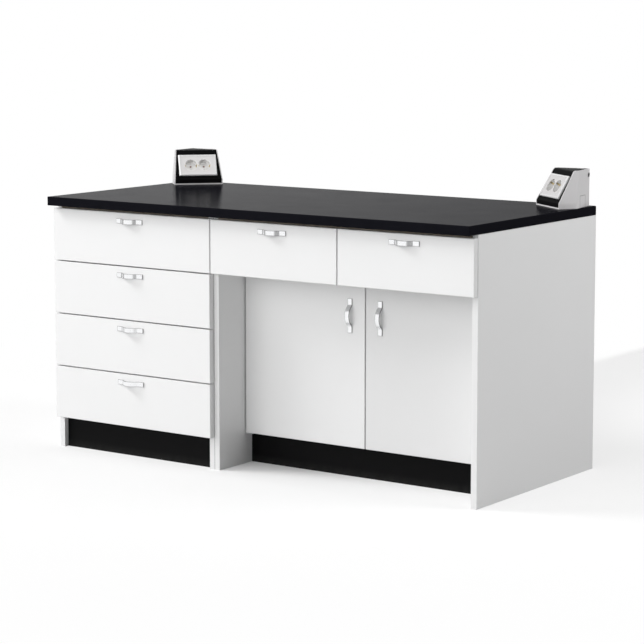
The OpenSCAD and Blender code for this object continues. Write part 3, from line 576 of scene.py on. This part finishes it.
def fix(model, name, place, axis, up, body, finish):
    """A copy of the model at a place, its Z along axis and its Y along up."""
    axis, up = Vector(axis).normalized(), Vector(up).normalized()
    bpy.ops.object.select_all(action="DESELECT")
    piece = model.copy()
    piece.data = model.data.copy()
    piece.name = name
    bpy.context.collection.objects.link(piece)
    turned = Matrix((up.cross(axis), up, axis)).transposed().to_4x4()
    piece.matrix_world = Matrix.Translation(place) @ turned
    piece.select_set(True)
    bpy.context.view_layer.objects.active = piece
    bpy.ops.object.transform_apply(location=True, rotation=True, scale=True)
    piece.data.materials.clear()
    piece.data.materials.append(finish.material)
    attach(piece, body)
    bpy.ops.object.select_all(action="DESELECT")
    return piece


drawer_board_t = 0.013
screw_in, screw_low, screw_high = 0.045, 0.03, 0.075
front_screw = cross_screw(
    "front_screw", head_r=0.004, head_t=0.0022, arm_l=0.0017, arm_w=0.0004
)
for drawer in drawers:
    low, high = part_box(drawer + "_box")
    for m, x in enumerate((low[0] + screw_in, high[0] - screw_in)):
        for n, z in enumerate((low[2] + screw_low, low[2] + screw_high)):
            fix(
                front_screw,
                "%s_front_screw_%d" % (drawer, 2 * m + n + 1),
                (x, low[1] + drawer_board_t, z),
                (0, 1, 0),
                (0, 0, 1),
                drawer,
                zinc,
            )
bpy.data.objects.remove(front_screw)

# ---------------------------------------------------------------- handles
# A bowed aluminium strap on two flat feet, brushed along its length and
# clear anodised, with a screw from behind in each foot. The same strap stands
# upright on the doors.


def brushed_aluminium(node, stretch):
    """Strap brushed along the axis of least stretch, with painted shade at its edges.
    """
    strap = Finish("aluminium_" + node, metallic=1.0)
    lines = strap.grain(0.0006, detail=3, stretch=stretch)
    # Painted shade: the strap's narrow edges are darkened in its colour.
    rounded = 1 - to_edge(strap, node, [0, 2]).fade(0.0004, 0.0011)
    colour = strap.between(
        (0.88, 0.885, 0.895), (0.95, 0.955, 0.965), strap.grain(0.02, detail=3)
    )
    strap.surface(
        base_color=strap.shade(colour, rounded, 1.0, 0.35),
        roughness=lines * 0.08 + 0.14,
        normal=strap.relief(lines, 0.000012),
    )
    strap.dress(node)


drawn_out = 0.03
for drawer in drawers:
    brushed_aluminium(drawer + "_handle", (drawn_out, 1, 1))
for door in doors:
    brushed_aluminium(door + "_handle", (1, 1, drawn_out))

# ---------------------------------------------------------------- runners
# Rolled steel channels in white epoxy, screwed to the cabinets and to the
# drawers, with nylon rollers. The paint is worn where the rollers run.
epoxy = Finish("white_epoxy", specular_ior_level=0.5)
peel = epoxy.grain(0.0016, detail=2)
scuff = epoxy.grain(0.03, detail=6, stretch=(1, 0.15, 1)).fade(0.62, 0.75)
epoxy.surface(
    base_color=epoxy.between((0.76, 0.76, 0.74), (0.55, 0.55, 0.54), scuff * 0.6),
    roughness=peel * 0.1 + 0.3 + scuff * 0.15,
    normal=epoxy.relief(peel, 0.00002),
)
epoxy.dress("cabinet_runners", *[drawer + "_runners" for drawer in drawers])

# --------------------------------------------------------------- fastenings
# Zinc-plated bolts, screws, shelf pins, pivot plates and door bushes, with
# the cloudy spangle of the plating.
zinc.dress(
    "worktop_screws",
    "cabinet_bolts",
    "shelf_pins",
    "door_pivot_plates",
    *[door + "_bushes" for door in doors],
)

# ---------------------------------------------------------- magnetic catches
# A white moulded case under the deck behind each door's free edge, with two
# steel pole plates at its front and a screw through each of its two ears.
catch_white = Finish("catch_white", specular_ior_level=0.5)
catch_white.surface(
    base_color=catch_white.between(
        (0.80, 0.80, 0.79), (0.84, 0.84, 0.83), catch_white.grain(0.01, detail=3)
    ),
    roughness=catch_white.grain(0.004) * 0.12 + 0.34,
    normal=catch_white.relief(catch_white.grain(0.0005, detail=3), 0.00002),
)
case_w, case_h, case_d, case_edge = 0.030, 0.014, 0.018, 0.0008
ear_l, ear_t = 0.008, 0.003
pole_x, pole_t, pole_out, pole_gap = 0.0085, 0.0015, 0.0012, 0.0003
bpy.ops.mesh.primitive_cube_add(size=1)
case = bpy.context.object
case.name = "catch_case"
bpy.ops.object.mode_set(mode="EDIT")
bpy.ops.mesh.select_all(action="SELECT")
bpy.ops.transform.resize(value=(case_w, case_d, case_h))
bpy.ops.transform.translate(value=(0, case_d / 2, -case_h / 2))


def ends(at, normal):
    return abs(normal.x) > 0.9


def face_plate(at, normal):
    return normal.y < -0.9


cut_across(case, ends, [(0, 0, -ear_t)], [(0, 0, 1)])
for way in (-1, 1):
    pick(case, lambda at, normal: normal.x * way > 0.9 and at.z > -ear_t)
    push((way * ear_l, 0, 0))
cuts = [way * (pole_x + edge * pole_t) for way in (-1, 1) for edge in (-1, 1)]
cut_across(case, face_plate, [(x, 0, 0) for x in cuts], [(1, 0, 0)] * 4)
pick(
    case,
    lambda at, normal: face_plate(at, normal)
    and pole_x - pole_t < abs(at.x) < pole_x + pole_t,
)
push((0, -pole_out, 0))
pick(case, lambda at, normal: normal.y > 0.9)
bpy.ops.mesh.bevel(offset=case_edge, segments=3, affect="EDGES")
bpy.ops.object.mode_set(mode="OBJECT")
bpy.ops.object.shade_smooth_by_angle(angle=math.radians(40))

deck_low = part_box("cupboard_deck")[0]
door_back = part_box("left_door_panel")[1]
strike_t = 0.001
catch_y = door_back[1] + strike_t + pole_gap + pole_out
doors_meet = (door_back[0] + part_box("right_door_panel")[0][0]) / 2
from_meeting = 0.045
catch_screw = cross_screw(
    "catch_screw", head_r=0.0032, head_t=0.0016, arm_l=0.0014, arm_w=0.00035
)
for side, way in (("left", -1), ("right", 1)):
    catch_x = doors_meet + way * from_meeting
    catch = fix(
        case,
        side + "_door_catch",
        (catch_x, catch_y, deck_low[2]),
        (0, 0, 1),
        (0, 1, 0),
        "bench",
        catch_white,
    )
    catch.data.materials.append(zinc.material)
    for face in catch.data.polygons:
        if face.center.y < catch_y - pole_out * 0.2:
            face.material_index = 1
    for ear, along in (("a", -1), ("b", 1)):
        fix(
            catch_screw,
            "%s_door_catch_screw_%s" % (side, ear),
            (
                catch_x + along * (case_w + ear_l) / 2,
                catch_y + case_d / 2,
                deck_low[2] - ear_t,
            ),
            (0, 0, -1),
            (0, 1, 0),
            "bench",
            zinc,
        )
bpy.data.objects.remove(case)
bpy.data.objects.remove(catch_screw)

# ------------------------------------------------------------- strike plates
# A thin zinc-plated plate on the back of each door meets the catch's poles.
# Its corners are rounded, and one flat screw in its middle holds it.
strike_w, strike_h, strike_corner, strike_edge = 0.038, 0.010, 0.003, 0.0003
strike_down = 0.0065
bpy.ops.mesh.primitive_cube_add(size=1)
strike = bpy.context.object
strike.name = "strike"
bpy.ops.object.mode_set(mode="EDIT")
bpy.ops.mesh.select_all(action="SELECT")
bpy.ops.transform.resize(value=(strike_w, strike_h, strike_t))
bpy.ops.transform.translate(value=(0, 0, strike_t / 2))
bpy.ops.mesh.select_mode(type="EDGE")
bpy.ops.mesh.select_all(action="DESELECT")
mesh = bmesh.from_edit_mesh(strike.data)
for edge in mesh.edges:
    a, b = (vert.co for vert in edge.verts)
    edge.select_set(abs((a - b).normalized().z) > 0.9)
bmesh.update_edit_mesh(strike.data)
bpy.ops.mesh.bevel(offset=strike_corner, segments=6, affect="EDGES")
pick(strike, lambda at, normal: normal.z > 0.9)
bpy.ops.mesh.bevel(offset=strike_edge, segments=2, affect="EDGES")
bpy.ops.object.mode_set(mode="OBJECT")
bpy.ops.object.shade_smooth_by_angle(angle=math.radians(40))
strike_screw = cross_screw(
    "strike_screw", head_r=0.003, head_t=0.0008, arm_l=0.0014, arm_w=0.00035
)
strike_z = door_back[2] - strike_down
for side, way in (("left", -1), ("right", 1)):
    place = Vector((doors_meet + way * from_meeting, door_back[1], strike_z))
    fix(
        strike,
        side + "_door_strike",
        place,
        (0, 1, 0),
        (0, 0, 1),
        side + "_door",
        zinc,
    )
    fix(
        strike_screw,
        side + "_door_strike_screw",
        place + Vector((0, strike_t, 0)),
        (0, 1, 0),
        (0, 0, 1),
        side + "_door",
        zinc,
    )
bpy.data.objects.remove(strike)
bpy.data.objects.remove(strike_screw)

# ----------------------------------------------------- socket unit housings
# Light grey moulded sides and rear walls on a floor plate, with the fine
# spark-eroded texture of the mould. Painted shade darkens the grooves of
# the knock-outs.
bench_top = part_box("worktop")[1][2]
unit_half, unit_side = 0.078, 0.058
knockout_in, knockout_half, knockout_h = 0.045, 0.0221, 0.0346
groove, slant_wall = 0.0006, 0.008
for side, unit_x, unit_y, unit_turn in (
    ("left_unit", -0.641, 0.252, math.radians(46.5)),
    ("right_unit", 0.6515, 0.238, math.radians(-35.5)),
):
    shell = Finish("grey_shell_" + side, specular_ior_level=0.4)
    east, north = shell.x - unit_x, shell.y - unit_y
    sideways = east * math.cos(unit_turn) + north * math.sin(unit_turn)
    backwards = north * math.cos(unit_turn) - east * math.sin(unit_turn)
    past_side, past_back = abs(sideways) - unit_half, backwards - unit_side
    along = (past_side - past_back) * math.sqrt(0.5) + knockout_in
    outwards = (past_side + past_back) * math.sqrt(0.5)
    height = shell.z - bench_top
    upright_cut = (abs(abs(along) - knockout_half) < groove) * (height < knockout_h)
    level_cut = (abs(height - knockout_h) < groove) * (abs(along) < knockout_half)
    # Painted shade along the knock-out grooves.
    painted_groove_shade = upright_cut.most(level_cut) * (outwards > -slant_wall)
    plain = shell.between(
        (0.64, 0.63, 0.635), (0.68, 0.67, 0.675), shell.grain(0.05, detail=3)
    )
    shell.surface(
        base_color=shell.shade(plain, painted_groove_shade, 1.0, 0.2),
        roughness=shell.grain(0.02) * 0.1 + 0.42,
        normal=shell.relief(shell.grain(0.0006, detail=3), 0.00003),
    )
    shell.dress(side + "_housing")

# ------------------------------------------------------- socket unit covers
# The black front and top are one bent sheet, let in between the grey sides.
# The plugs in the unused cable holes are of the same plastic.
black_cover = Finish("black_cover", specular_ior_level=0.03)
black_cover.surface(
    base_color=black_cover.between(
        (0.0028, 0.0028, 0.003),
        (0.0045, 0.0045, 0.005),
        black_cover.grain(0.03, detail=3),
    ),
    roughness=black_cover.grain(0.02) * 0.12 + 0.42,
    normal=black_cover.relief(black_cover.grain(0.0006, detail=3), 0.00003),
)
black_cover.dress("left_unit_cover", "right_unit_cover", "unit_cable_plugs")

# -------------------------------------------------------------- socket plates
# Glossy thermoset double plates, clipped into the covers. A raised white
# border runs round a field that is a shade warmer and greyer.
plate_half_w, plate_half_h, border_w = 0.061, 0.0365, 0.005
sockets = {
    mount["name"]: mount
    for mount in frame["record"]["mounts"]
    if mount["kind"] == "other"
}


def socket_axes(mount):
    """A recess's middle on the plate, and its ways across, up and out."""
    out = Vector(mount["axis"]).normalized()
    across = Vector((-out.y, out.x, 0)).normalized()
    return Vector(mount["pos_m"]), across, out.cross(across), out


# Each plate's greys, of its field and of its border: the left plate's are
# raised as painted light and the right plate's lowered as painted shade.
# The plates' colour is also painted darker for glossy rays, a painted
# reflection, so their mirror images in the worktop's gloss are darker.
plate_lit_and_shaded_tones = (("left_unit", 0.87, 0.94), ("right_unit", 0.61, 0.78))
painted_mirror_dark = 0.15
for side, field, rim in plate_lit_and_shaded_tones:
    first, across, up, out = socket_axes(sockets[side + "_left_socket"])
    middle = (first + socket_axes(sockets[side + "_right_socket"])[0]) / 2
    plate = Finish("plate_" + side, specular_ior_level=0.5, coat_roughness=0.08)

    def distance_along(way):
        reach = plate.x * way.x + plate.y * way.y + plate.z * way.z
        return abs(reach - middle.dot(way))

    border = (distance_along(across) - (plate_half_w - border_w)).most(
        distance_along(up) - (plate_half_h - border_w)
    ) > 0.0
    dust = plate.grain(0.03, detail=3)
    enamel = plate.between(
        (field, field * 0.98, field * 0.98),
        (rim, rim, rim),
        border * 0.9 + dust * 0.1,
    )
    plate.surface(
        # Painted reflection: the colour is darker where it is seen in mirrors.
        base_color=plate.shade(enamel, plate.ray("Glossy"), 1.0, painted_mirror_dark),
        roughness=plate.grain(0.015) * 0.08 + 0.2,
        normal=plate.relief(plate.grain(0.006, detail=2), 0.00002),
    )
    plate.dress(side + "_socket_plate")

# ------------------------------------------------------------- socket inserts
# A deep round cup of the same glossy thermoset, moulded in one piece. A boss
# stands in the middle of its floor, between the two holes for a plug's pins.
mouldings = {}
# The left unit's inserts are lightened as painted light in their cups, the right unit's
# darkened as painted shade.
insert_lit_and_shaded_tones = (("left_unit", 0.95, 0.98), ("right_unit", 0.72, 0.77))
for side, low_tone, high_tone in insert_lit_and_shaded_tones:
    moulding = Finish("insert_" + side, specular_ior_level=0.5, coat_roughness=0.08)
    moulding.surface(
        base_color=moulding.between(
            (low_tone, low_tone * 0.995, low_tone * 0.99),
            (high_tone, high_tone * 0.995, high_tone * 0.99),
            moulding.grain(0.03, detail=3),
        ),
        roughness=moulding.grain(0.015) * 0.08 + 0.2,
        normal=moulding.relief(moulding.grain(0.006, detail=2), 0.00002),
    )
    mouldings[side] = moulding
cup_r, recess_r, recess_deep, cup_floor = 0.02155, 0.01975, 0.017, 0.003
boss_r, boss_h, boss_edge = 0.0045, 0.0015, 0.0004
pin_r, pin_pitch, pin_sides = 0.0025, 0.019, 12
insert_turns = {"left_unit": math.radians(90), "right_unit": math.radians(60)}
cup_deep, pin_deep = recess_deep + cup_floor, cup_floor * 0.9
bpy.ops.mesh.primitive_cylinder_add(
    vertices=72, radius=cup_r, depth=cup_deep, location=(0, 0, -cup_deep / 2)
)
cup = bpy.context.object
cup.name = "cup"
bpy.ops.object.transform_apply(location=True)
bpy.ops.object.mode_set(mode="EDIT")
pick(cup, lambda at, normal: normal.z > 0.9)
bpy.ops.mesh.inset(thickness=cup_r - recess_r)
push((0, 0, -recess_deep))
bpy.ops.mesh.inset(thickness=recess_r - boss_r)
push((0, 0, boss_h))
bpy.ops.mesh.bevel(offset=boss_edge, segments=2, affect="EDGES")


def cup_bottom(at, normal):
    return normal.z > 0.9 and abs(at.z + recess_deep) < 0.0001


turns = [math.tau * (n + 0.5) / pin_sides for n in range(pin_sides)]
normals = [Vector((math.cos(turn), math.sin(turn), 0)) for turn in turns]
for way in (-1, 1):
    middle = Vector((way * pin_pitch / 2, 0, -recess_deep))
    cut_across(cup, cup_bottom, [middle + n * pin_r for n in normals], normals)
for way in (-1, 1):
    pick(
        cup,
        lambda at, normal: cup_bottom(at, normal)
        and math.hypot(at.x - way * pin_pitch / 2, at.y) < pin_r * 0.98,
    )
    push((0, 0, -pin_deep))
bpy.ops.object.mode_set(mode="OBJECT")
bpy.ops.object.shade_smooth_by_angle(angle=math.radians(35))


def unit_of(name):
    """The unit that a socket belongs to, such as left_unit."""
    return name[: name.index("_unit")] + "_unit"


def insert_axes(name):
    """A recess's middle, its way out, and its insert's ways across and up."""
    at, across, up, out = socket_axes(sockets[name])
    turn = insert_turns[unit_of(name)]
    line = across * math.cos(turn) + up * math.sin(turn)
    return at, out, line, up * math.cos(turn) - across * math.sin(turn)


for name in sockets:
    at, out, line, square = insert_axes(name)
    insert = fix(
        cup,
        name + "_insert",
        at,
        out,
        square,
        "bench",
        mouldings[unit_of(name)],
    )
    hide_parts("socket_inserts")
bpy.data.objects.remove(cup)

# ---------------------------------------------------------- pin-hole shutters
# A white leaf lies behind each pin hole and is pushed aside by a plug. It has
# a shallow dish that guides the pin.
leaf_r, leaf_t, leaf_edge, leaf_behind = 0.0024, 0.0012, 0.0002, 0.0018
dish_in, dish_deep = 0.0006, 0.0005
bpy.ops.mesh.primitive_cylinder_add(vertices=28, radius=leaf_r, depth=leaf_t)
leaf = bpy.context.object
leaf.name = "leaf"
bpy.ops.object.mode_set(mode="EDIT")
pick(leaf, lambda at, normal: normal.z > 0.9)
bpy.ops.mesh.inset(thickness=dish_in)
push((0, 0, -dish_deep))
bpy.ops.transform.resize(value=(0.6, 0.6, 1))
pick(leaf, lambda at, normal: normal.z < -0.9)
bpy.ops.mesh.bevel(offset=leaf_edge, segments=2, affect="EDGES")
bpy.ops.object.mode_set(mode="OBJECT")
bpy.ops.object.shade_smooth_by_angle(angle=math.radians(35))
for name in sockets:
    at, out, line, square = insert_axes(name)
    for n, way in enumerate((-1, 1)):
        fix(
            leaf,
            "%s_shutter_%d" % (name, n + 1),
            at + line * way * pin_pitch / 2 - out * (recess_deep + leaf_behind),
            out,
            line,
            "bench",
            mouldings[unit_of(name)],
        )
bpy.data.objects.remove(leaf)

# ------------------------------------------------------ socket centre screws
# A small cross-head screw on the boss clamps each insert. It has gone brown
# with age, and its dark colour is partly painted shade for the recess's floor.
bronze = Finish("browned_brass", metallic=1.0)
stain = bronze.grain(0.0015, detail=4)
bronze.surface(
    # Partly painted shade: the screw's brown is kept dark.
    base_color=bronze.between((0.20, 0.13, 0.12), (0.34, 0.22, 0.18), stain),
    roughness=stain * 0.2 + 0.3,
    normal=bronze.relief(bronze.grain(0.0004), 0.00001),
)
screw_deep = recess_deep - boss_h
cross_skew = 0.7
centre_screw = cross_screw(
    "centre_screw", head_r=0.003, head_t=0.0013, arm_l=0.0015, arm_w=0.0004
)
for name, mount in sockets.items():
    at, across, up, out = socket_axes(mount)
    fix(
        centre_screw,
        name + "_screw",
        at - out * screw_deep,
        out,
        up + across * cross_skew,
        "bench",
        bronze,
    )
bpy.data.objects.remove(centre_screw)

# -------------------------------------------------------------- earth clips
# Two sprung brass strips stand across from one another in each recess. They
# are bowed inwards, so that they press on a plug's side.
brass = Finish("brass_strip", metallic=1.0)
tarnish = brass.grain(0.003, detail=4)
brass.surface(
    base_color=brass.between((0.80, 0.66, 0.36), (0.58, 0.46, 0.25), tarnish),
    roughness=tarnish * 0.2 + 0.22,
    normal=brass.relief(brass.grain(0.0005), 0.00001),
)
clip_w, clip_t, clip_h, clip_into_wall = 0.0045, 0.0006, 0.015, 0.0001
bow, bow_steps, lip = 0.0028, 14, 0.0006


def bowed(step):
    """How far the strip stands in from the wall after that many steps."""
    return bow * math.sin(math.pi * step / bow_steps) ** 1.5


rise = clip_h / bow_steps
bpy.ops.mesh.primitive_cube_add(size=1)
clip = bpy.context.object
clip.name = "clip"
bpy.ops.object.mode_set(mode="EDIT")
bpy.ops.mesh.select_all(action="SELECT")
bpy.ops.transform.resize(value=(clip_w, clip_t, rise))
bpy.ops.transform.translate(value=(0, -clip_t / 2, rise / 2 - recess_deep))
pick(clip, lambda at, normal: normal.z > 0.9)
bpy.ops.transform.translate(value=(0, -bowed(1), 0))
for step in range(1, bow_steps):
    push((0, bowed(step) - bowed(step + 1), rise))
bpy.ops.mesh.bevel(offset=lip, segments=2, affect="EDGES")
bpy.ops.object.mode_set(mode="OBJECT")
bpy.ops.object.shade_smooth_by_angle(angle=math.radians(30))
for name in sockets:
    at, out, line, square = insert_axes(name)
    for n, way in enumerate((-1, 1)):
        piece = fix(
            clip,
            "%s_clip_%d" % (name, n + 1),
            at + square * way * (recess_r - clip_into_wall),
            out,
            square * way,
            "bench",
            brass,
        )
        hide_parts("socket_earth_clips")
bpy.data.objects.remove(clip)
